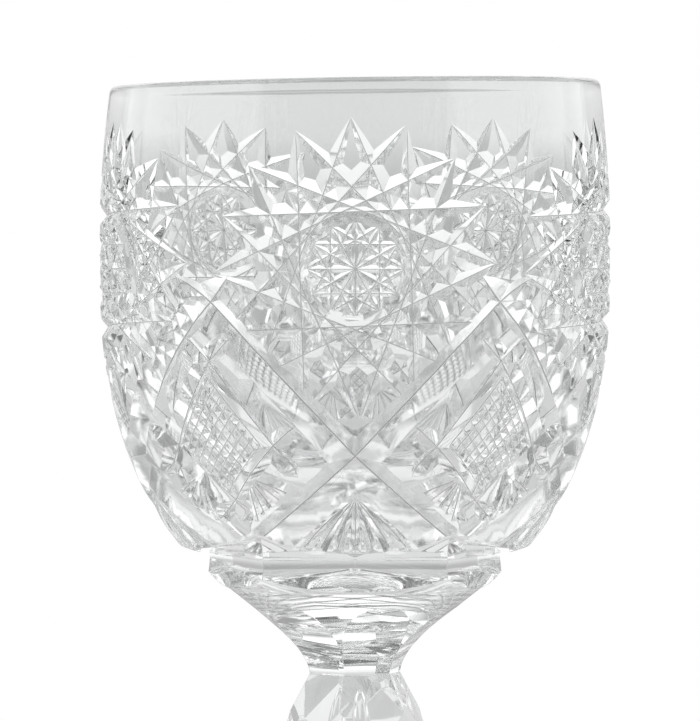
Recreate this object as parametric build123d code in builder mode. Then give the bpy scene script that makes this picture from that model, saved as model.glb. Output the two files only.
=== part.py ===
# Water goblet of clear wheel-cut crystal: a cup-shaped bowl on a five-sided collar, a six-panel neck,
# a faceted knop with an air tear in it, a six-panel lower stem and a round foot.
# Millimetres, +Z up, origin at the centre of the circle that the foot stands on.

import os
from math import atan2, cos, degrees, radians, sin

from build123d import *

# Heights of the pieces, which stand on each other
foot_height = 7.5
lower_stem_height = 25.0
knop_height = 24.0
neck_height = 14.5
collar_height = 5.6
bowl_height = 79.4

# Foot
foot_radius = 36.0
foot_edge_height = 2.6
foot_edge_round = 1.1
foot_ring_width = 7.0
foot_hollow_depth = 1.2
foot_edge_slope = 0.12
foot_top_slope = 0.6

# Six-panel stem: the flat distance and the ridge radius at its two waists
panel_count = 6
panel_turn = -13.4
waist_flat = 6.95
waist_ridge = 8.0
lower_stem_foot_radius = 13.5
lower_stem_mid_radius = 8.6
lower_stem_mid_share = 0.45
lower_stem_panel_slope = 0.7

# Knop: facets on a turned ball, and the bubble sealed inside it
knop_radius = 12.7
knop_side_flat = 11.4
knop_slope_flat = 12.8
tear_radius = 1.6
tear_height = 16.0

# Neck: the flare that widens from the waist to the collar
neck_top_radius = 21.3
neck_mid_radius = 13.6
neck_mid_height = 8.0
neck_panel_mid_flat = 11.9
neck_panel_top_radius = 18.6
neck_panel_top_height = 12.2
neck_panel_top_slope = 0.75

# Collar: five upright flats
collar_sides = 5
collar_flat = 21.75
collar_flare_run = 7.0
collar_flare_rise = 3.3

# Bowl: outside radii, walls, and heights above its seat on the collar
bowl_seat_radius = 27.0
heel_radius = 29.8
heel_rise = 1.6
low_radius = 38.2
low_height = 16.0
belly_radius = 43.25
belly_height = 49.3
rim_radius = 41.3
rim_wall = 2.2
rim_round = 0.9
bore_swell = 0.9
bore_swell_height = 67.0
belly_wall = 5.0
low_wall = 12.4
bowl_floor = 4.9

# Wheel cutting on the bowl: repeats of a star and, below it, of two crossed mitres
cut_repeats = 5
star_height = 48.4
star_radius = 25.0
star_points = 8
star_skip = 3
star_lean = -2.0
star_depth = 1.5
star_spread = 1.35
arm_top_height = 43.9
arm_cross_height = 18.8
arm_foot_height = 1.2
arm_depth = 2.4
arm_spread = 1.4
arm_overlap = 0.1
cut_reach = 2.0
cut_end = 0.4
cut_precision = 1e-6

# Shares that shape the rounded edges and the shallow hollow under the foot
round_share = 0.45
hollow_share = 0.75

# Levels of the joins, from the ground up
z_lower_stem = foot_height
z_knop = z_lower_stem + lower_stem_height
z_neck = z_knop + knop_height
z_collar = z_neck + neck_height
z_bowl = z_collar + collar_height
z_rim = z_bowl + bowl_height

panel_step = 360 / panel_count


def upright(angle):
    """A vertical plane through the axis of the glass, turned by an angle about it."""
    across = (cos(radians(angle)), sin(radians(angle)), 0)
    normal = (sin(radians(angle)), -cos(radians(angle)), 0)
    return Plane(origin=(0, 0, 0), x_dir=across, z_dir=normal)


def facet(angle, distance, level, lean):
    """A plane that faces outwards at an angle, at a distance from the axis at one level."""
    out = cos(radians(lean))
    facing = (out * cos(radians(angle)), out * sin(radians(angle)), sin(radians(lean)))
    place = (distance * cos(radians(angle)), distance * sin(radians(angle)), level)
    return Plane(origin=place, z_dir=facing)


os.makedirs("parts", exist_ok=True)

# Foot: a flat ring to stand on, a shallow hollow inside it and a low domed top
with BuildPart() as foot:
    with BuildSketch(Plane.XZ):
        with BuildLine():
            ring_inner = foot_radius - foot_ring_width
            ThreePointArc(
                (0, foot_hollow_depth), (ring_inner / 2, foot_hollow_depth * hollow_share), (ring_inner, 0)
            )
            Line((ring_inner, 0), (foot_radius, 0))
            Line((foot_radius, 0), (foot_radius, foot_edge_height))
            Spline(
                (foot_radius, foot_edge_height),
                (lower_stem_foot_radius, foot_height),
                tangents=[(-1, foot_edge_slope), (-1, foot_top_slope)],
            )
            Line((lower_stem_foot_radius, foot_height), (0, foot_height))
            Line((0, foot_height), (0, foot_hollow_depth))
        make_face()
    revolve(axis=Axis.Z)
    rim_edges = foot.edges().filter_by(GeomType.CIRCLE).filter_by(
        lambda edge: abs(edge.radius - foot_radius) < 0.01
    )
    fillet(rim_edges, min(foot_edge_round, round_share * foot_edge_height))
foot.part.label = "foot"
export_step(foot.part, "parts/foot.step")

# Lower stem: a round flare on the foot, cut with six hollow panels up to the lower waist
with BuildPart() as lower_stem:
    z_mid = z_lower_stem + lower_stem_mid_share * lower_stem_height
    with BuildSketch(Plane.XZ):
        with BuildLine():
            Line((0, z_lower_stem), (lower_stem_foot_radius, z_lower_stem))
            Spline(
                (lower_stem_foot_radius, z_lower_stem),
                (lower_stem_mid_radius, z_mid),
                (waist_ridge, z_knop),
                tangents=[(-1, 1), (0, 1)],
            )
            Line((waist_ridge, z_knop), (0, z_knop))
            Line((0, z_knop), (0, z_lower_stem))
        make_face()
    revolve(axis=Axis.Z)
    for pair in range(panel_count // 2):
        with BuildSketch(upright(panel_turn + pair * panel_step)):
            with BuildLine():
                side = Spline(
                    (lower_stem_foot_radius, z_lower_stem),
                    (lower_stem_mid_radius * waist_flat / waist_ridge, z_mid),
                    (waist_flat, z_knop),
                    tangents=[(-1, lower_stem_panel_slope), (0, 1)],
                )
                mirror(side, about=Plane.YZ)
                Line((-waist_flat, z_knop), (waist_flat, z_knop))
                Line((-lower_stem_foot_radius, z_lower_stem), (lower_stem_foot_radius, z_lower_stem))
            make_face()
        extrude(amount=lower_stem_foot_radius * 2, both=True, mode=Mode.INTERSECT)
lower_stem.part.label = "lower_stem"
export_step(lower_stem.part, "parts/lower_stem.step")

# Knop: a turned ball cut with six sloping facets above, six upright ones round the middle and six below
with BuildPart() as knop:
    z_middle = z_knop + knop_height / 2
    with BuildSketch(Plane.XZ):
        with BuildLine():
            Line((0, z_knop), (waist_ridge, z_knop))
            ThreePointArc((waist_ridge, z_knop), (knop_radius, z_middle), (waist_ridge, z_neck))
            Line((waist_ridge, z_neck), (0, z_neck))
            Line((0, z_neck), (0, z_knop))
        make_face()
    revolve(axis=Axis.Z)
    slope = degrees(atan2(knop_slope_flat - waist_flat, knop_height / 2))
    for number in range(panel_count):
        turn = panel_turn + number * panel_step
        split(bisect_by=facet(turn, waist_flat, z_neck, slope), keep=Keep.BOTTOM)
        split(bisect_by=facet(turn, waist_flat, z_knop, -slope), keep=Keep.BOTTOM)
        split(bisect_by=facet(turn + panel_step / 2, knop_side_flat, z_middle, 0), keep=Keep.BOTTOM)
    with BuildSketch(Plane.XZ):
        with BuildLine():
            tear_side = EllipticalCenterArc(
                (0, z_middle), tear_radius, tear_height / 2, start_angle=-90, arc_size=180
            )
            Line(tear_side @ 1, tear_side @ 0)
        make_face()
    revolve(axis=Axis.Z, mode=Mode.SUBTRACT)
knop.part.label = "knop"
export_step(knop.part, "parts/knop.step")

# Neck: a round flare under the collar, cut with six hollow panels down to the upper waist
with BuildPart() as neck:
    with BuildSketch(Plane.XZ):
        with BuildLine():
            Line((0, z_neck), (waist_ridge, z_neck))
            Spline(
                (waist_ridge, z_neck),
                (neck_mid_radius, z_neck + neck_mid_height),
                (neck_top_radius, z_collar),
                tangents=[(0, 1), (collar_flare_run, collar_flare_rise)],
            )
            Line((neck_top_radius, z_collar), (0, z_collar))
            Line((0, z_collar), (0, z_neck))
        make_face()
    revolve(axis=Axis.Z)
    for pair in range(panel_count // 2):
        with BuildSketch(upright(panel_turn + pair * panel_step)):
            with BuildLine():
                side = Spline(
                    (waist_flat, z_neck),
                    (neck_panel_mid_flat, z_neck + neck_mid_height),
                    (neck_panel_top_radius, z_neck + neck_panel_top_height),
                    tangents=[(0, 1), (1, neck_panel_top_slope)],
                )
                brow = Line(side @ 1, (2 * neck_top_radius, z_collar))
                Line((-2 * neck_top_radius, z_collar), (2 * neck_top_radius, z_collar))
                Line((-waist_flat, z_neck), (waist_flat, z_neck))
                mirror([side, brow], about=Plane.YZ)
            make_face()
        extrude(amount=2 * neck_top_radius, both=True, mode=Mode.INTERSECT)
neck.part.label = "neck"
export_step(neck.part, "parts/neck.step")

# Collar: the flare carried on upwards, cut to five upright flats and closed on top by the bowl's seat
with BuildPart() as collar:
    flare_radius = neck_top_radius + collar_flare_run
    with BuildSketch(Plane.XZ):
        with BuildLine():
            Polyline(
                (0, z_collar),
                (neck_top_radius, z_collar),
                (flare_radius, z_collar + collar_flare_rise),
                (flare_radius, z_bowl),
                (0, z_bowl),
                close=True,
            )
        make_face()
    revolve(axis=Axis.Z)
    with BuildSketch(Plane.XY.offset(z_collar)):
        RegularPolygon(collar_flat, collar_sides, major_radius=False, rotation=90)
    extrude(amount=2 * collar_height, mode=Mode.INTERSECT)
collar.part.label = "collar"
export_step(collar.part, "parts/collar.step")

# Bowl: a blown cup, thin at the rim and thick at the foot of its wall
with BuildPart() as bowl:
    with BuildSketch(Plane.XZ):
        with BuildLine():
            Line((0, z_bowl), (bowl_seat_radius, z_bowl))
            Line((bowl_seat_radius, z_bowl), (heel_radius, z_bowl + heel_rise))
            wall = Spline(
                (heel_radius, z_bowl + heel_rise),
                (low_radius, z_bowl + low_height),
                (belly_radius, z_bowl + belly_height),
                (rim_radius, z_rim),
            )
            Line((rim_radius, z_rim), (rim_radius - rim_wall, z_rim))
            Spline(
                (rim_radius - rim_wall, z_rim),
                (rim_radius - rim_wall + bore_swell, z_bowl + bore_swell_height),
                (belly_radius - belly_wall, z_bowl + belly_height),
                (low_radius - low_wall, z_bowl + low_height),
                (0, z_bowl + bowl_floor),
                tangents=[(bore_swell, bore_swell_height - bowl_height), (-1, 0)],
            )
            Line((0, z_bowl + bowl_floor), (0, z_bowl))
        make_face()
    revolve(axis=Axis.Z)
    fillet(bowl.edges().group_by(Axis.Z)[-1], min(rim_round, round_share * rim_wall))


def on_wall(turn, height, depth):
    """The point at a depth under the bowl's outside, at a turn from the front and a height above its seat."""
    below = 0.0
    above = 1.0
    while above - below > cut_precision:
        share = (below + above) / 2
        if (wall @ share).Y < z_bowl + height:
            below = share
        else:
            above = share
    radius = (wall @ below).X - depth
    return Vector(radius * sin(radians(turn)), -radius * cos(radians(turn)), z_bowl + height)


def mitre(start, middle, end, reach, spread):
    """A V-shaped bar that follows the arc through three points of its root and opens outwards."""
    root = Edge.make_three_point_arc(start, middle, end)
    along = root % 0
    out = (start - root.arc_center).normalized()
    with BuildPart() as bar:
        with BuildSketch(Plane(origin=start, x_dir=out, z_dir=along)):
            Polygon((0, 0), (reach, reach * spread), (reach, -reach * spread), align=None)
        revolve(
            axis=Axis(root.arc_center, out.cross(along)),
            revolution_arc=degrees(root.length / root.radius),
        )
    return bar.part


def on_star(point):
    """The turn and the height of a point of the star."""
    angle = radians(star_lean + point * 360 / star_points)
    return degrees(star_radius * sin(angle) / belly_radius), star_height + star_radius * cos(angle)


def on_arm(share, depth):
    """The point at a depth on a crossed mitre, from a share: top 1, crossing 0, foot -1."""
    lean = (arm_top_height - arm_foot_height) / 2
    bend = (arm_top_height + arm_foot_height) / 2 - arm_cross_height
    return on_wall(share * 180 / cut_repeats, arm_cross_height + lean * share + bend * share**2, depth)


# Star cutter: the main mitres, each from one point of the star to the third on
star_bars = []
for point in range(star_points):
    first_turn, first_height = on_star(point)
    last_turn, last_height = on_star(point + star_skip)
    first = on_wall(first_turn, first_height, -cut_end)
    deepest = on_wall((first_turn + last_turn) / 2, (first_height + last_height) / 2, star_depth)
    last = on_wall(last_turn, last_height, -cut_end)
    star_bars.append(mitre(first, deepest, last, star_depth + cut_reach, star_spread))
with BuildPart() as star:
    add(star_bars)

# Crossed cutter: two arms that come down from between the stars and cross under the star's lowest point
arm_reach = arm_depth + cut_reach
arm_bars = [
    mitre(
        on_arm(1, -cut_end),
        on_arm((1 - arm_overlap) / 2, arm_depth),
        on_arm(-arm_overlap, arm_depth),
        arm_reach,
        arm_spread,
    ),
    mitre(
        on_arm(arm_overlap, arm_depth),
        on_arm((arm_overlap - 1) / 2, arm_depth),
        on_arm(-1, arm_depth),
        arm_reach,
        arm_spread,
    ),
]
with BuildPart() as crossing:
    add(arm_bars)
    mirror(about=Plane.YZ)

# Cut bowl: both cutters taken out of the cup at every repeat
with BuildPart() as cut_bowl:
    add(bowl.part)
    with PolarLocations(0, cut_repeats):
        add([star.part, crossing.part], mode=Mode.SUBTRACT)
cut_bowl.part.label = "bowl"
export_step(cut_bowl.part, "parts/bowl.step")
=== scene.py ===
import math
import random

import bmesh
import bpy
from mathutils import Matrix, Vector
from mathutils.geometry import interpolate_bezier


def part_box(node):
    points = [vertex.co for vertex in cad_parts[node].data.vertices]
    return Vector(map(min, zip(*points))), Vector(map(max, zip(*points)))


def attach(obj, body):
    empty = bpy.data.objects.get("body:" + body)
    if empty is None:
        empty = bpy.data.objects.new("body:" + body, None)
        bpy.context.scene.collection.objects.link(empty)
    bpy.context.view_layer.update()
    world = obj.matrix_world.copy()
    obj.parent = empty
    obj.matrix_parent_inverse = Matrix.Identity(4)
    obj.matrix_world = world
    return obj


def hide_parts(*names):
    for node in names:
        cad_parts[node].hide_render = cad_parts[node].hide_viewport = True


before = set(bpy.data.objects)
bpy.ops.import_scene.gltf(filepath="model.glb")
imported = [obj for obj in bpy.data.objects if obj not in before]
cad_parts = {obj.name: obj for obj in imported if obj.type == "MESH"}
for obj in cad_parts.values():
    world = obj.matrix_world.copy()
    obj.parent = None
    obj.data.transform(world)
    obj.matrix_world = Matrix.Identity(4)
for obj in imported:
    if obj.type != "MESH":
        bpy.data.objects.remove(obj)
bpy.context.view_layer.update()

# Foot: a round pad of clear lead crystal, pressed flat while hot and fused to the stem. A star of
# straight mitres is cut into its underside, and the glass stands on the plain flat ring outside
# that star.
MM = 0.001
UP = Vector((0, 0, 1))


def levels(node):
    """The lowest and highest level of a node, in millimetres."""
    low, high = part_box(node)
    return low[2] / MM, high[2] / MM


def radius_of(node):
    """How far a node reaches from the axis, in millimetres."""
    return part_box(node)[1][0] / MM


def curve(start, start_pull, end_pull, end, count):
    """Points along one smooth stretch of a profile, both ends included."""
    flat = [Vector((x, y, 0)) for x, y in (start, start_pull, end_pull, end)]
    return [(p.x, p.y) for p in interpolate_bezier(*flat, count)]


foot_top = levels("foot")[1]
foot_radius = radius_of("foot")
foot_edge = 2.6
foot_round = 1.1
foot_round_steps = 8
foot_lower_corner = (foot_radius, 0)
foot_upper_corner = (foot_radius, foot_edge)
foot_edge_top = (foot_radius - foot_round, foot_edge + 0.1)
foot_slope_start = (foot_radius - foot_round - 0.2, foot_edge + 0.12)
foot_slope_pulls = (28, 3.7), (19, 4.3)
foot_slope_steps = 30
foot_ring = 7.0
hollow_edge = foot_radius - foot_ring
hollow_height = 1.2
hollow_steps = 12
stem_base_radius = radius_of("lower_stem")

foot_profile = [(0, hollow_height)]
for step in range(1, hollow_steps + 1):
    foot_profile.append((hollow_edge * step / hollow_steps, hollow_height * (1 - (step / hollow_steps) ** 2)))
foot_profile += curve(
    (foot_radius - foot_round, 0), foot_lower_corner, foot_lower_corner, (foot_radius, foot_round),
    foot_round_steps,
)
foot_profile += curve(
    (foot_radius, foot_edge - foot_round), foot_upper_corner, foot_upper_corner, foot_edge_top,
    foot_round_steps,
)
foot_profile += curve(foot_slope_start, *foot_slope_pulls, (stem_base_radius, foot_top), foot_slope_steps)
foot_profile.append((0, foot_top))

ROUND_STEPS = 288


def turned(profile, steps=ROUND_STEPS):
    """Points and faces of a closed solid turned about the axis from (radius, level) points."""
    points, faces, rings = [], [], []
    for radius, level in profile:
        count = steps if radius else 1
        rings.append(range(len(points), len(points) + count))
        for step in range(count):
            turn = 2 * math.pi * step / steps
            points.append((radius * math.sin(turn), -radius * math.cos(turn), level))
    for low, high in zip(rings, rings[1:]):
        for step in range(steps):
            after = (step + 1) % steps
            corners = [low[step % len(low)], low[after % len(low)]]
            corners += [high[after % len(high)], high[step % len(high)]]
            faces.append(list(dict.fromkeys(corners)))
    return points, faces


LEAD_IOR = 1.54
EDGE_SAMPLES = 4


def linear(code):
    """A linear colour from an sRGB hex value."""
    shares = [int(code[i:i + 2], 16) / 255 for i in (0, 2, 4)]
    return [s / 12.92 if s <= 0.04045 else ((s + 0.055) / 1.055) ** 2.4 for s in shares] + [1.0]


def add_node(tree, kind, settings=None, links=None):
    """Adds a node, sets its properties and inputs, and links inputs, by name or number, to sockets."""
    node = tree.nodes.new(kind)
    for name, value in (settings or {}).items():
        if isinstance(name, int) or name in node.inputs:
            node.inputs[name].default_value = value
        else:
            setattr(node, name, value)
    for name, socket in (links or {}).items():
        tree.links.new(socket, node.inputs[name])
    return node


def lead_crystal(name, roughness, edge, swells):
    """Colourless crystal with softened edges and swells, each of a width, a height and a detail."""
    material = bpy.data.materials.new(name)
    material.use_nodes = True
    tree = material.node_tree
    shader = tree.nodes["Principled BSDF"]
    shader.inputs["Base Color"].default_value = linear("FBFCFC")
    shader.inputs["Transmission Weight"].default_value = 1.0
    shader.inputs["IOR"].default_value = LEAD_IOR
    shader.inputs["Roughness"].default_value = roughness
    place = add_node(tree, "ShaderNodeTexCoord").outputs["Object"]
    surface = add_node(tree, "ShaderNodeBevel", {"samples": EDGE_SAMPLES, "Radius": edge * MM})
    for width, height, detail in swells:
        grain = {"Scale": 1 / (width * MM), "Detail": detail}
        noise = add_node(tree, "ShaderNodeTexNoise", grain, {"Vector": place})
        sources = {"Height": noise.outputs["Fac"], "Normal": surface.outputs["Normal"]}
        surface = add_node(tree, "ShaderNodeBump", {"Distance": height * MM}, sources)
    tree.links.new(surface.outputs["Normal"], shader.inputs["Normal"])
    return material


# Fire-polished crystal: the flame leaves it bright, and blowing leaves a faint swell, so what shows
# through it wavers a little.
fire_polished = lead_crystal("fire_polished_lead_crystal", 0.0, 0.15, [(14.0, 0.05, 1.0), (5.0, 0.004, 2.0)])
# Wheel-cut crystal: polished after the cutting, but not as bright as the flame leaves it, so its many
# small faces sparkle softly.
wheel_cut = lead_crystal("wheel_cut_polished_lead_crystal", 0.06, 0.14, [(3.0, 0.012, 1.0)])
# Ground crystal: polishing does not reach the narrow root of a mitre, which shows as a thin grey line.
ground = bpy.data.materials.new("ground_lead_crystal")
ground.use_nodes = True
frost = ground.node_tree.nodes["Principled BSDF"]
frost.inputs["Base Color"].default_value = linear("B4B6B6")
frost.inputs["Transmission Weight"].default_value = 0.4
frost.inputs["IOR"].default_value = LEAD_IOR
frost.inputs["Roughness"].default_value = 0.5
# Fused glass: where two pieces were melted together there is no surface, so the eye sees none.
fused_seam = bpy.data.materials.new("fused_glass_seam")
fused_seam.use_nodes = True
fused_seam.node_tree.nodes["Principled BSDF"].inputs["Alpha"].default_value = 0.0
FINISHES = [fire_polished, wheel_cut, ground, fused_seam]
BLOWN, CUT, GROUND, SEAM = range(len(FINISHES))


def blank(name, points, faces, finishes):
    """A loose mesh object, in millimetres, faces outwards, with one finish or one for each face."""
    mesh = bpy.data.meshes.new(name)
    mesh.from_pydata(points, [], faces)
    for material in FINISHES:
        mesh.materials.append(material)
    if isinstance(finishes, int):
        finishes = [finishes] * len(faces)
    mesh.polygons.foreach_set("material_index", finishes)
    work = bmesh.new()
    work.from_mesh(mesh)
    bmesh.ops.recalc_face_normals(work, faces=work.faces)
    work.to_mesh(mesh)
    work.free()
    return bpy.data.objects.new(name, mesh)


foot = blank("foot_glass", *turned(foot_profile), BLOWN)

ROOT_WIDTH = 0.12
ROOT_SHARE = 0.3
HOLLOW_CUT = [(-0.75, 0.5), (-0.4, 0.85), (0, 1), (0.4, 0.85), (0.75, 0.5)]


def lofted(points, size):
    """Faces of a closed bar from rings of points: the sides from ring to ring, then both ends."""
    faces = []
    for start in range(0, len(points) - size, size):
        for corner in range(size):
            after = (corner + 1) % size
            faces.append((start + corner, start + after, start + size + after, start + size + corner))
    return faces + [tuple(range(size))[::-1], tuple(range(len(points) - size, len(points)))]


def groove(stations, lift, root=ROOT_WIDTH, hollow=False, finish=CUT):
    """A cutting bar: each station has a place, the ways out and sideways, a depth and two half widths.

    A mitre has two polished faces and, where they meet, a narrow root that the polishing does not reach.
    """
    points = []
    for place, out, side, depth, left, right in stations:
        flare = 1 if hollow else (depth + lift) / depth
        strip = min(root / 2, ROOT_SHARE * min(left, right))
        bottom = [(-strip, 1), (strip, 1)]
        if hollow:
            bottom = [(s * (left if s < 0 else right), d) for s, d in HOLLOW_CUT]
        points.append(place + out * lift - side * left * flare)
        points += [place - out * depth * d + side * s for s, d in bottom]
        points.append(place + out * lift + side * right * flare)
    size = len(bottom) + 2
    band = [finish] * size
    if not hollow:
        band[1] = GROUND
    return blank("mitre", points, lofted(points, size), band * (len(stations) - 1) + [CUT, CUT])


foot_rays = 24
ray_start = 1.0
ray_end = hollow_edge - 0.5
ray_depth = 0.9
ray_tip_depth = 0.15
ray_fullness = 0.7
ray_lift = 1.0
ray_steps = 12


def foot_ray(number):
    """One mitre of the star under the foot, deepest near the middle of its length."""
    turn = 2 * math.pi * number / foot_rays
    run = Vector((math.sin(turn), -math.cos(turn), 0))
    stations = []
    for step in range(ray_steps + 1):
        share = step / ray_steps
        reach = ray_start + share * (ray_end - ray_start)
        depth = ray_tip_depth + ray_depth * math.sin(math.pi * share) ** ray_fullness
        level = hollow_height * (1 - (reach / hollow_edge) ** 2)
        stations.append((run * reach + UP * level, -UP, run.cross(UP), depth, depth, depth))
    return groove(stations, ray_lift)


scene = bpy.context.scene


def carve(piece, tools, operation="DIFFERENCE"):
    """Applies a group of cutting or joining solids to a piece and throws the group away."""
    bench = bpy.data.collections.new("bench")
    scene.collection.objects.link(piece)
    scene.collection.children.link(bench)
    for tool in tools:
        bench.objects.link(tool)
    cut = piece.modifiers.new("cut", "BOOLEAN")
    cut.operand_type = "COLLECTION"
    cut.collection = bench
    cut.solver = "MANIFOLD"
    cut.operation = operation
    seen = piece.evaluated_get(bpy.context.evaluated_depsgraph_get())
    result = bpy.data.meshes.new_from_object(seen)
    piece.modifiers.clear()
    piece.data = result
    for tool in tools:
        bpy.data.objects.remove(tool)
    bpy.data.collections.remove(bench)
    scene.collection.objects.unlink(piece)


carve(foot, [foot_ray(number) for number in range(0, foot_rays, 2)])
carve(foot, [foot_ray(number) for number in range(1, foot_rays, 2)])

FLAT_ENOUGH = 0.999
SEAM_REACH = 0.002
CREASE = math.radians(14)


def set_piece(piece, node, seams):
    """Scales a finished piece to metres, marks its fused seams and puts it in its node's place."""
    mesh = piece.data
    for face in mesh.polygons:
        level = face.center.z
        if abs(face.normal.z) > FLAT_ENOUGH and any(abs(level - seam) < SEAM_REACH for seam in seams):
            face.material_index = SEAM
    mesh.transform(Matrix.Scale(MM, 4))
    mesh.polygons.foreach_set("use_smooth", [True] * len(mesh.polygons))
    mesh.set_sharp_from_angle(angle=CREASE)
    scene.collection.objects.link(piece)
    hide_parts(node)
    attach(piece, "root")


set_piece(foot, "foot", [foot_top])

# Lower stem: a drawn stem of clear crystal that flares onto the foot and is fused to it. Six hollow
# panels are ground down its sides on the wheel, so its waist is a hexagon and its flare is round.
panel_count = 6
panel_turn = math.radians(-13.4)
panel_overlap = 1.0
panel_reach = 3
stem_steps = 48
waist_flat = 6.95
waist_ridge = 8.0

# Panel-cut crystal: broad faces polished by hand, clear but not true, so light bends in wavy bands.
panel_cut = lead_crystal("panel_cut_polished_lead_crystal", 0.03, 0.25, [(8.0, 0.04, 1.0)])
PANEL = len(FINISHES)
FINISHES.append(panel_cut)


def panels(sides, half_length):
    """Bars whose faces are the hollow panels: each pair of opposite panels is one bar."""
    bars = []
    for pair in range(panel_count // 2):
        turn = panel_turn + pair * 2 * math.pi / panel_count
        across = Vector((math.cos(turn), math.sin(turn), 0))
        along = Vector((-math.sin(turn), math.cos(turn), 0))
        corners = ((-1, -1), (1, -1), (1, 1), (-1, 1))
        points = []
        for flat, level in sides:
            points += [across * x * flat + along * y * half_length + UP * level for x, y in corners]
        bars.append(blank("panel", points, lofted(points, len(corners)), PANEL))
    return bars


def panelled(name, ridge, sides):
    """A round flare cut with hollow panels: the ridge profile is turned, then cut to the sides."""
    first, last = ridge[0][1], ridge[-1][1]
    piece = blank(name, *turned([(0, first)] + ridge + [(0, last)]), PANEL)
    sides = [(sides[0][0], first - panel_overlap)] + sides + [(sides[-1][0], last + panel_overlap)]
    for bar in panels(sides, panel_reach * max(radius for radius, level in ridge)):
        carve(piece, [bar], "INTERSECT")
    return piece


low, high = levels("lower_stem")
ridge_pulls = (9.6, low + 4), (waist_ridge, low + 11)
side_pulls = (8.6, low + 3.4), (waist_flat, low + 10)
ridge = curve((stem_base_radius, low), *ridge_pulls, (waist_ridge, high), stem_steps)
sides = curve((stem_base_radius, low), *side_pulls, (waist_flat, high), stem_steps)
lower_stem = panelled("lower_stem_glass", ridge, sides)
set_piece(lower_stem, "lower_stem", [low, high])

# Knop: a solid ball of crystal fused between the two stems, ground to sloping facets above and below
# and upright facets round its middle. A long bubble of air, the tear, is trapped in its centre.
low, high = levels("knop")
middle = (low + high) / 2
knop_radius = 12.7
knop_side = 11.4
knop_slope = 12.8
knop_steps = 48
tear_radius = 1.6
tear_half = 8.0
tear_steps = 24
tear_round_steps = 48


def ball_radius(level):
    """Radius of the turned ball before its facets are ground, an arc through both waists."""
    half = (high - low) / 2
    rise = knop_radius - waist_ridge
    arc = (half ** 2 + rise ** 2) / (2 * rise)
    return knop_radius - arc + math.sqrt(arc ** 2 - (level - middle) ** 2)


def grind(piece, normal, place):
    """Grinds a piece flat on a plane: what lies beyond it goes, and the cut is closed."""
    work = bmesh.new()
    work.from_mesh(piece.data)
    parts = list(work.verts) + list(work.edges) + list(work.faces)
    made = bmesh.ops.bisect_plane(work, geom=parts, plane_co=place, plane_no=normal, clear_outer=True)
    border = [part for part in made["geom_cut"] if isinstance(part, bmesh.types.BMEdge)]
    bmesh.ops.contextual_create(work, geom=border)
    work.to_mesh(piece.data)
    work.free()


ball_levels = [low + (high - low) * step / knop_steps for step in range(knop_steps + 1)]
ball = [(0, low)] + [(ball_radius(level), level) for level in ball_levels] + [(0, high)]
knop = blank("knop_glass", *turned(ball), PANEL)
lean = math.atan2(knop_slope - waist_flat, (high - low) / 2)
for number in range(panel_count):
    turn = panel_turn + number * 2 * math.pi / panel_count
    out = Vector((math.cos(turn), math.sin(turn), 0))
    for level, way in ((high, 1), (low, -1)):
        facing = out * math.cos(lean) + UP * way * math.sin(lean)
        grind(knop, facing, out * waist_flat + UP * level)
    turn += math.pi / panel_count
    out = Vector((math.cos(turn), math.sin(turn), 0))
    grind(knop, out, out * knop_side + UP * middle)

tear = [(0, middle - tear_half)]
for step in range(1, tear_steps):
    turn = math.pi * step / tear_steps
    tear.append((tear_radius * math.sin(turn), middle - tear_half * math.cos(turn)))
tear.append((0, middle + tear_half))
carve(knop, [blank("tear", *turned(tear, tear_round_steps), BLOWN)])
set_piece(knop, "knop", [low, high])

# Neck: the drawn stem of crystal above the knop, fused to it and widening in one sweep to the collar.
# Its lower half is ground to the same six panels as the knop's facets, and its upper half stays round.
low, high = levels("neck")
neck_radius = radius_of("neck")
neck_side_steps = 40
neck_side_top = (18.6, low + 12.2)
neck_clear = 2
ridge_pulls = (waist_ridge, low + 4), (15.0, low + 9.6)
side_pulls = (waist_flat, low + 4), (12.6, low + 9.0)
ridge = curve((waist_ridge, low), *ridge_pulls, (neck_radius, high), stem_steps)
sides = curve((waist_flat, low), *side_pulls, neck_side_top, neck_side_steps)
sides.append((neck_radius + neck_clear, high))
neck = panelled("neck_glass", ridge, sides)
set_piece(neck, "neck", [low, high])

# Collar: a pad of crystal fused between neck and bowl, ground to five upright, slightly hollow flats.
# The flats run out in curves where they meet the round flare below and the heel of the bowl above.
low, bowl_seat = levels("neck")[1], levels("bowl")[0]
collar_sides = 5
collar_flat = 21.75
collar_run = 7.0
collar_rise = 3.3
collar_hollow = 0.7
collar_rise_on = 4.4
collar_overlap = 1
collar_steps = 16


def collar_prism(bottom, top):
    """The five upright flats as a bar with one flat to the front, each flat ground a little hollow."""
    points = []
    for step in range(collar_steps + 1):
        level = bottom + (top - bottom) * step / collar_steps
        share = (level - low) / (bowl_seat + collar_rise_on - low)
        flat = collar_flat - collar_hollow * max(0.0, 4 * share * (1 - share))
        corner = flat / math.cos(math.pi / collar_sides)
        for number in range(collar_sides):
            turn = (2 * number + 1) * math.pi / collar_sides
            points.append((corner * math.sin(turn), -corner * math.cos(turn), level))
    return blank("flats", points, lofted(points, collar_sides), PANEL)


flare = neck_radius + collar_run
flared = [(0, low), (neck_radius, low), (flare, low + collar_rise), (flare, bowl_seat), (0, bowl_seat)]
collar = blank("collar_glass", *turned(flared), PANEL)
carve(collar, [collar_prism(low - collar_overlap, bowl_seat + collar_overlap)], "INTERSECT")
set_piece(collar, "collar", [low, bowl_seat])

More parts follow.
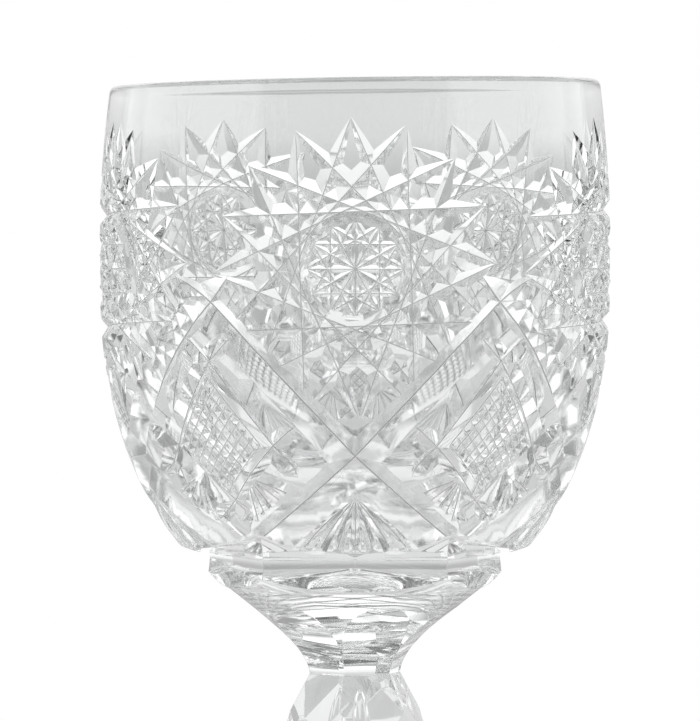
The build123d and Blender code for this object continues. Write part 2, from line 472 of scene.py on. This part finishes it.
# Bowl: a cup blown from clear lead crystal, thin at its fire-polished rim and thick at its heel, and
# fused to the collar. Its outside is cut on the wheel, with the same pattern five times round.
rim = levels("bowl")[1]
rim_radius = 41.3
rim_wall = 2.2
lip_height = 0.8
lip = rim - lip_height
lip_steps = 24
belly_radius = radius_of("bowl")
belly = rim - 30.1
lower_reach = 62.5
lower_power = 2.33
wall_steps = 110
heel = bowl_seat + 2.0
heel_pulls = (26.0, bowl_seat + 0.3), (29.6, bowl_seat + 1.1)
heel_steps = 16
seat_radius = 21.5
shoulder = (36.2, rim - 40)
shoulder_pulls = (41.0, rim - 13.8), (39.4, rim - 27)
shoulder_steps = 26
floor_level = rim - 74.5
floor_pulls = (32.2, rim - 56), (19.0, floor_level)
floor_steps = 30
bowl_round_steps = 360
repeats = 5
repeat = 2 * math.pi / repeats

# Stone-smoothed crystal: the widest cuts keep a trace of the stone's grain, so they read as satin bands.
stone_smoothed = lead_crystal("stone_smoothed_lead_crystal", 0.12, 0.2, [(3.0, 0.012, 1.0)])
STONE = len(FINISHES)
FINISHES.append(stone_smoothed)


def outside(level):
    """Outer radius of the uncut bowl: a slight draw-in above the belly, a full round below it."""
    if level > belly:
        return belly_radius - (belly_radius - rim_radius) * ((level - belly) / (rim - belly)) ** 2
    return belly_radius * math.sqrt(1 - ((belly - level) / lower_reach) ** lower_power)


bowl_profile = [(0, bowl_seat)]
bowl_profile += curve((seat_radius, bowl_seat), *heel_pulls, (outside(heel), heel), heel_steps)[:-1]
for step in range(wall_steps + 1):
    level = heel + (lip - heel) * step / wall_steps
    bowl_profile.append((outside(level), level))
for step in range(1, lip_steps):
    turn = math.pi * step / lip_steps
    bowl_profile.append((rim_radius - rim_wall * (1 - math.cos(turn)) / 2, lip + lip_height * math.sin(turn)))
bowl_profile += curve((rim_radius - rim_wall, lip), *shoulder_pulls, shoulder, shoulder_steps)
bowl_profile += curve(shoulder, *floor_pulls, (0, floor_level), floor_steps)[1:-1]
bowl_profile.append((0, floor_level))
bowl = blank("bowl_glass", *turned(bowl_profile, bowl_round_steps), BLOWN)

PROBE = 0.01
CUT_LIFT = 1.2
LEAST_DEPTH = 0.02


def on_bowl(turn, level):
    """The place on the uncut bowl at a turn from the front and a level, and the way out of it there."""
    draw = (outside(level + PROBE) - outside(level - PROBE)) / (2 * PROBE)
    front = Vector((math.sin(turn), -math.cos(turn), 0))
    return front * outside(level) + UP * level, (front - UP * draw).normalized()


def mitre(path, depths, spread, root=ROOT_WIDTH, hollow=False, roll=0.0):
    """A wheel cut that follows (turn, level) points over the bowl: its depths, and its spread per depth."""
    places = [on_bowl(turn, level) for turn, level in path]
    stations = []
    for k, (place, out) in enumerate(places):
        before, after = places[max(k - 1, 0)][0], places[min(k + 1, len(places) - 1)][0]
        run = (after - before).normalized()
        side = out.cross(run).normalized()
        lean = Matrix.Rotation(roll, 3, run)
        half = depths[k] * spread
        stations.append((place, lean @ out, lean @ side, depths[k], half, half))
    return groove(stations, CUT_LIFT, root, hollow)


def along(corners, count):
    """Evenly spaced points over each stretch between (turn, level) corners."""
    points = []
    for (turn, level), (next_turn, next_level) in zip(corners, corners[1:]):
        for k in range(count):
            points.append((turn + (next_turn - turn) * k / count, level + (next_level - level) * k / count))
    return points + [corners[-1]]


def eased(shares, depth):
    """Depths that rise from a point to full depth as a wheel does, from shares of the run-in."""
    return [max(depth * min(s, 1) * (2 - min(s, 1)), LEAST_DEPTH) for s in shares]


hand = random.Random(5)
cuts = []


def cut_round(corners, depth, spread, run, count, wander, root=ROOT_WIDTH, open_end=False):
    """One mitre, repeated round the bowl with a little of the cutter's own unsteadiness."""
    for number in range(repeats):
        shaky = []
        for turn, level in corners:
            shaky_turn = turn + number * repeat + hand.uniform(-wander, wander) / belly_radius
            shaky.append((shaky_turn, level + hand.uniform(-wander, wander)))
        path = along(shaky, count)
        last = len(path) - 1
        shares = [(k if open_end else min(k, last - k)) / last / run for k in range(last + 1)]
        cuts.append(mitre(path, eased(shares, depth), spread, root))


# Stars: sixteen straight mitres each, every one running from one point of the star to the sixth
# point on, so that they cross in a net of small pyramids and leave a round button in the middle.
star_level = rim - 31.0
star_radius = 24.6
star_points = 16
star_skip = 6
star_lean = math.radians(-2.0)
star_cut = {"depth": 1.5, "spread": 1.35, "run": 0.36, "count": 32, "wander": 0.2}


def on_star(radius, turn):
    """A (turn, level) on the bowl from a distance and an angle about the middle of a star."""
    return radius * math.sin(turn) / belly_radius, star_level + radius * math.cos(turn)


for point in range(star_points):
    turn = star_lean + 2 * math.pi * point / star_points
    far = turn + 2 * math.pi * star_skip / star_points
    cut_round([on_star(star_radius, turn), on_star(star_radius, far)], **star_cut)

# Buttons: the round middle of each star, ringed by short hollow cuts and covered by fine mitres, six
# right across it and twelve more across its rays, which make a ring of little stars.
ring_radius = 8.95
ring_cuts = 15
ring_steps = 3
ring_jitter = 0.22
ring_overlap = 0.03
ring_depth = 0.9
ring_unevenness = 0.05
ring_half_width = 0.95
ring_roll = math.radians(5)
button_radius = 8.1
button_rays = 12
button_skip = 4
button_ray = {"depth": 0.62, "spread": 0.95, "run": 0.12, "count": 12, "wander": 0.04, "root": 0.1}
button_chord = {"depth": 0.5, "spread": 1, "run": 0.12, "count": 12, "wander": 0.04, "root": 0.1}

for number in range(repeats):
    jitters = [hand.uniform(-ring_jitter, ring_jitter) for _ in range(ring_cuts)]
    marks = [2 * math.pi * (k + jitter) / ring_cuts for k, jitter in enumerate(jitters)]
    for start, end in zip(marks, marks[1:] + [marks[0] + 2 * math.pi]):
        ends = [on_star(ring_radius, start - ring_overlap), on_star(ring_radius, end + ring_overlap)]
        path = [(turn + number * repeat, level) for turn, level in along(ends, ring_steps)]
        depth = ring_depth * hand.uniform(1 - ring_unevenness, 1 + ring_unevenness)
        roll = hand.uniform(-ring_roll, ring_roll)
        cuts.append(mitre(path, [depth] * len(path), ring_half_width / depth, hollow=True, roll=roll))
for ray in range(button_rays):
    turn = 2 * math.pi * ray / button_rays
    if ray < button_rays // 2:
        cut_round([on_star(button_radius, turn), on_star(button_radius, turn + math.pi)], **button_ray)
    far = turn + 2 * math.pi * button_skip / button_rays
    cut_round([on_star(button_radius, turn), on_star(button_radius, far)], **button_chord)

# Crossed mitres: the widest and deepest cuts, two arms that cross under each star, ten in all. They
# come down from between the stars to the corners of the collar, and their lower faces are ground wider.
arm_cross = rim - 62.7
arm_slope_up = 1.03
arm_slope_down = 0.9
arm_run_up = 1.2
arm_run_on = 1.14
arm_length = arm_run_up + arm_run_on
arm_depth = 2.8
arm_foot_depth = 4.2
arm_shake = 0.035
arm_ease = 10
arm_steps = 40
arm_settle = 30
arm_narrow = 1.05
arm_wide = 1.42
arm_widen_from = 0.8
arm_widen_over = 0.5
arm_lift = 2.0
arm_root = 0.22


def arm_level(turn):
    """Level of an arm at a turn from its crossing: it lies in a plane, as a straight wheel leaves it."""
    level = arm_cross
    slope = arm_slope_up if turn > 0 else arm_slope_down
    for _ in range(arm_settle):
        level = arm_cross + slope * outside(level) * math.sin(turn)
    return level


for number in range(repeats):
    for way in (1, -1):
        places, stations = [], []
        for k in range(arm_steps + 1):
            turn = (arm_run_up - arm_length * k / arm_steps) * repeat / 2
            places.append(on_bowl(number * repeat + way * turn, arm_level(turn)))
        depths = eased([arm_ease * k / arm_steps for k in range(arm_steps + 1)], arm_depth)
        depths = [depth * (1 + hand.uniform(-arm_shake, arm_shake)) for depth in depths]
        for k, (place, out) in enumerate(places):
            before, after = places[max(k - 1, 0)][0], places[min(k + 1, arm_steps)][0]
            side = way * out.cross((after - before).normalized()).normalized()
            below = max(0.0, min(1.0, (2 * k / arm_steps - arm_widen_from) / arm_widen_over))
            wide = arm_narrow + (arm_wide - arm_narrow) * below
            foot_share = max(0.0, arm_length * k / arm_steps - arm_run_up) / arm_run_on
            deep = depths[k] + (arm_foot_depth - arm_depth) * foot_share ** 2
            stations.append((place, out, side, deep, depths[k] * arm_narrow, depths[k] * wide))
        cuts.append(groove(stations, arm_lift, arm_root, finish=STONE))

# Diamonds: the fields between the arms. Four narrow mitres divide each one, and its middle is
# hatched into small pyramids, the pattern that cutters call strawberry diamond.
middle_turn = repeat / 2
top = (0.0, rim - 46.4)
flank = (math.radians(15.1), rim - 60.6)
far_flank = (-flank[0], flank[1])
bottom = (0.0, rim - 69.8)
over_top = (-math.radians(8.0), rim - 41.2)
past_flank = (math.radians(21.6), rim - 65.0)
before_flank = (-math.radians(21.6), rim - 56.8)
past_bottom = (math.radians(6.0), rim - 72.4)
line_cut = {"depth": 1.6, "spread": 1.05, "run": 0.14, "count": 10, "wander": 0.12}
hatch_rows = 10
hatch_cut = {"depth": 0.85, "spread": 1.0, "run": 0.03, "count": 8, "wander": 0.04, "root": 0.08}


def on_diamond(place, way):
    """A (turn, level) of the diamond's own, to its left or right, as a turn and level of the bowl."""
    return middle_turn + way * place[0], place[1]


def between(start, end, share):
    """The (turn, level) at a share of the way from one place to another."""
    return tuple(a + (b - a) * share for a, b in zip(start, end))


for way in (1, -1):
    for line in ((over_top, top, flank, past_flank), (before_flank, far_flank, bottom, past_bottom)):
        cut_round([on_diamond(place, way) for place in line], **line_cut)
for row in range(1, hatch_rows):
    share = row / hatch_rows
    for way in (1, -1):
        start = on_diamond(between(top, far_flank, share), way)
        end = on_diamond(between(flank, bottom, share), way)
        cut_round([start, end], **hatch_cut)

# Fans: flared rays, one spray under each crossing down to the collar and a small one in each of the
# two lower fields beside a diamond.
fan_apex = (0.0, rim - 68.6)
fan_foot = heel - 0.4
fan_turn = math.radians(17)
fan_rays = 7
fan_cut = {"depth": 1.5, "spread": 0.75, "run": 1.6, "count": 14, "wander": 0.08, "open_end": True}
small_start = between(flank, bottom, 0.5)
small_ends = (math.radians(17.5), rim - 68.0), (math.radians(7.0), rim - 72.6)
small_rays = 5
small_cut = {"depth": 0.5, "spread": 0.8, "run": 1.2, "count": 8, "wander": 0.05, "open_end": True}

for ray in range(fan_rays):
    turn = fan_turn * (2 * ray / (fan_rays - 1) - 1)
    cut_round([fan_apex, (turn, fan_foot)], **fan_cut)
for way in (1, -1):
    for ray in range(small_rays):
        end = between(*small_ends, ray / (small_rays - 1))
        cut_round([on_diamond(small_start, way), on_diamond(end, way)], **small_cut)

# Heel: a low arch is ground into the bowl over each corner of the collar, so that the corners stand
# free, and the collar's flats run on up into the bowl. The rim of the hand-worked bowl runs slightly
# askew.
arch_side = [(0, 4.3), (4.6, 2.8), (7.8, 2.2), (13.0, 1.75), (16.0, 1.4), (16.0, -1.6)]
arch = [(-across, level) for across, level in arch_side[:0:-1]] + arch_side
arch_reach = (20.0, 40.0)
rim_slope = 0.0154
rim_lift = 0.25
rim_depth = 12

for number in range(collar_sides):
    turn = (2 * number + 1) * math.pi / collar_sides
    out = Vector((math.sin(turn), -math.cos(turn), 0))
    side = Vector((math.cos(turn), math.sin(turn), 0))
    points = []
    for reach in arch_reach:
        points += [out * reach + side * across + UP * (bowl_seat + level) for across, level in arch]
    cuts.append(blank("arch", points, lofted(points, len(arch)), STONE))
carve(bowl, cuts)
carve(bowl, [collar_prism(bowl_seat, bowl_seat + collar_rise_on)], "UNION")
for point in bowl.data.vertices:
    share = max(0.0, (point.co.z - (rim - rim_depth)) / rim_depth)
    point.co.z += share * (rim_slope * point.co.x + rim_lift)
set_piece(bowl, "bowl", [bowl_seat])

# Floor: a plain round table under the glass, painted pale, which keeps the soft shadow of the glass.
# Seen through the glass, it shows painted light in rings: a painted shade under the foot, then a painted pool
# of light, lightest in a ring round the foot.
TABLE_RADIUS = 350
TABLE_STEPS = 96
# Painted light on the table, as (distance from the axis in mm, strength): a painted shade under the foot, a
# painted pool of light round it, and dimmer beyond.
TABLE_PAINTED_LIGHT = [(0, 0.64), (60, 0.93), (140, 0.64)]

# Matt paint: pale and even, with only a dull sheen. Rays through or off the glass see painted light in its
# place.
table_paint_and_painted_light = bpy.data.materials.new("pale_matt_table_with_painted_light")
table_paint_and_painted_light.use_nodes = True
tree = table_paint_and_painted_light.node_tree
paint = tree.nodes["Principled BSDF"]
paint.inputs["Base Color"].default_value = linear("F4F4F2")
paint.inputs["Roughness"].default_value = 0.6
place = add_node(tree, "ShaderNodeTexCoord").outputs["Object"]
reach = add_node(tree, "ShaderNodeVectorMath", {"operation": "LENGTH"}, {"Vector": place}).outputs["Value"]
share = add_node(tree, "ShaderNodeMapRange", {"From Max": TABLE_RADIUS * MM}, {"Value": reach})
# Painted light: rings of painted shade under the foot and a painted pool of light round it, shown only to
# rays through or off the glass.
rings = add_node(tree, "ShaderNodeValToRGB", links={"Fac": share.outputs["Result"]})
rings.color_ramp.interpolation = "CONSTANT"
rings.color_ramp.elements.new(0.5)
for stop, (start, strength) in zip(rings.color_ramp.elements, TABLE_PAINTED_LIGHT):
    stop.position = start / TABLE_RADIUS
    stop.color = (strength, strength, strength, 1)
painted_glow = add_node(tree, "ShaderNodeEmission", links={"Color": rings.outputs["Color"]}).outputs["Emission"]
ray_kind = add_node(tree, "ShaderNodeLightPath").outputs
glass_rays = {0: ray_kind["Is Transmission Ray"], 1: ray_kind["Is Glossy Ray"]}
through_glass = add_node(tree, "ShaderNodeMath", {"operation": "MAXIMUM"}, glass_rays).outputs[0]
shown = add_node(tree, "ShaderNodeMixShader", links={0: through_glass, 1: paint.outputs["BSDF"], 2: painted_glow})
tree.links.new(shown.outputs["Shader"], tree.nodes["Material Output"].inputs["Surface"])

table = bpy.data.meshes.new("floor")
table_points, table_faces = turned([(TABLE_RADIUS, 0), (0, 0)], TABLE_STEPS)
table.from_pydata(table_points, [], table_faces)
table.transform(Matrix.Scale(MM, 4))
table.materials.append(table_paint_and_painted_light)
floor = bpy.data.objects.new("floor", table)
scene.collection.objects.link(floor)

# Light: white walls under a dark ceiling, brightest at the sides and dimmer behind the viewer. Their
# strengths, like the table's painted light, were fitted by a program to the tones and contrast of the
# real glass. The camera and the matt table see plain white.
ROOM_EDGES = [-0.35, -0.1, 0.1, 0.3, 0.5, 0.75]
ROOM_BLUR = 0.05
ROOM_FRONT = [0.74, 0.69, 0.50, 0.76, 0.51, 0.23, 0.15]
ROOM_SIDE = [0.78, 1.05, 1.30, 1.29, 1.24, 0.31, 0.15]
ROOM_BACK = [0.59, 0.42, 0.76, 0.98, 1.30, 0.25, 0.15]
ROOM_PEAK = 1.30
world = bpy.data.worlds.new("bright_room")
scene.world = world
world.use_nodes = True
tree = world.node_tree
tree.nodes.clear()
heading = add_node(tree, "ShaderNodeTexCoord").outputs["Generated"]
heading = add_node(tree, "ShaderNodeSeparateXYZ", links={"Vector": heading}).outputs
height = add_node(tree, "ShaderNodeMapRange", {"From Min": -1.0, "From Max": 1.0}, {"Value": heading["Z"]})


def wall_light(strengths):
    """The light of one wall in bands from the ground up, as a share of the brightest."""
    ramp = add_node(tree, "ShaderNodeValToRGB", links={"Fac": height.outputs["Result"]})
    stops = []
    for edge, below, above in zip(ROOM_EDGES, strengths, strengths[1:]):
        stops += [(edge - ROOM_BLUR, below), (edge + ROOM_BLUR, above)]
    while len(ramp.color_ramp.elements) < len(stops):
        ramp.color_ramp.elements.new(1.0)
    for stop, (level, strength) in zip(ramp.color_ramp.elements, stops):
        share = strength / ROOM_PEAK
        stop.position = (level + 1) / 2
        stop.color = (share, share, share, 1)
    return ramp.outputs["Color"]


corner_blur = {"interpolation_type": "SMOOTHSTEP", "From Min": -ROOM_BLUR, "From Max": ROOM_BLUR}
front_to_back = {"Value": heading["Y"], "To Min": wall_light(ROOM_FRONT), "To Max": wall_light(ROOM_BACK)}
ends = add_node(tree, "ShaderNodeMapRange", corner_blur, front_to_back).outputs["Result"]
across = add_node(tree, "ShaderNodeMath", {"operation": "ABSOLUTE"}, {0: heading["X"]}).outputs[0]
deep = add_node(tree, "ShaderNodeMath", {"operation": "ABSOLUTE"}, {0: heading["Y"]}).outputs[0]
sideways = add_node(tree, "ShaderNodeMath", {"operation": "SUBTRACT"}, {0: across, 1: deep}).outputs[0]
ends_to_sides = {"Value": sideways, "To Min": ends, "To Max": wall_light(ROOM_SIDE)}
walls = add_node(tree, "ShaderNodeMapRange", corner_blur, ends_to_sides).outputs["Result"]
room = add_node(tree, "ShaderNodeMath", {"operation": "MULTIPLY", 1: ROOM_PEAK}, {0: walls}).outputs[0]
ray_kind = add_node(tree, "ShaderNodeLightPath").outputs
for kind in ("Is Camera Ray", "Is Diffuse Ray"):
    room = add_node(tree, "ShaderNodeMath", {"operation": "MAXIMUM"}, {0: room, 1: ray_kind[kind]}).outputs[0]
light = add_node(tree, "ShaderNodeBackground", {"Color": (1, 1, 1, 1)}, {"Strength": room})
add_node(tree, "ShaderNodeOutputWorld", links={"Surface": light.outputs["Background"]})

# Camera: in front of the glass at about the height of its belly, looking slightly down, and over a
# metre away, so the sides of the bowl hardly converge. Colours are shown plainly, and light may
# bounce often enough to pass every wall of the glass.
PHOTO_WIDTH, PHOTO_HEIGHT = 700, 721
axis_pixel = 355
focal_pixels = 6509
distance = 1100
camera_level = rim - 28.0
aim_level = rim - 46.6
camera_data = bpy.data.cameras.new("camera")
camera = bpy.data.objects.new("camera", camera_data)
scene.collection.objects.link(camera)
scene.camera = camera
camera_data.sensor_fit = "AUTO"
camera_data.sensor_width = 36.0
camera_data.lens = focal_pixels / PHOTO_HEIGHT * camera_data.sensor_width
axis_offset = (axis_pixel - PHOTO_WIDTH / 2) * distance / focal_pixels
camera.location = Vector((-axis_offset, -distance, camera_level)) * MM
pitch = math.atan2(camera_level - aim_level, distance)
camera.rotation_euler = (math.pi / 2 - pitch, 0, 0)
scene.view_settings.view_transform = "Standard"
scene.cycles.max_bounces = 32
scene.cycles.transmission_bounces = 32
scene.cycles.glossy_bounces = 16
scene.cycles.transparent_max_bounces = 24
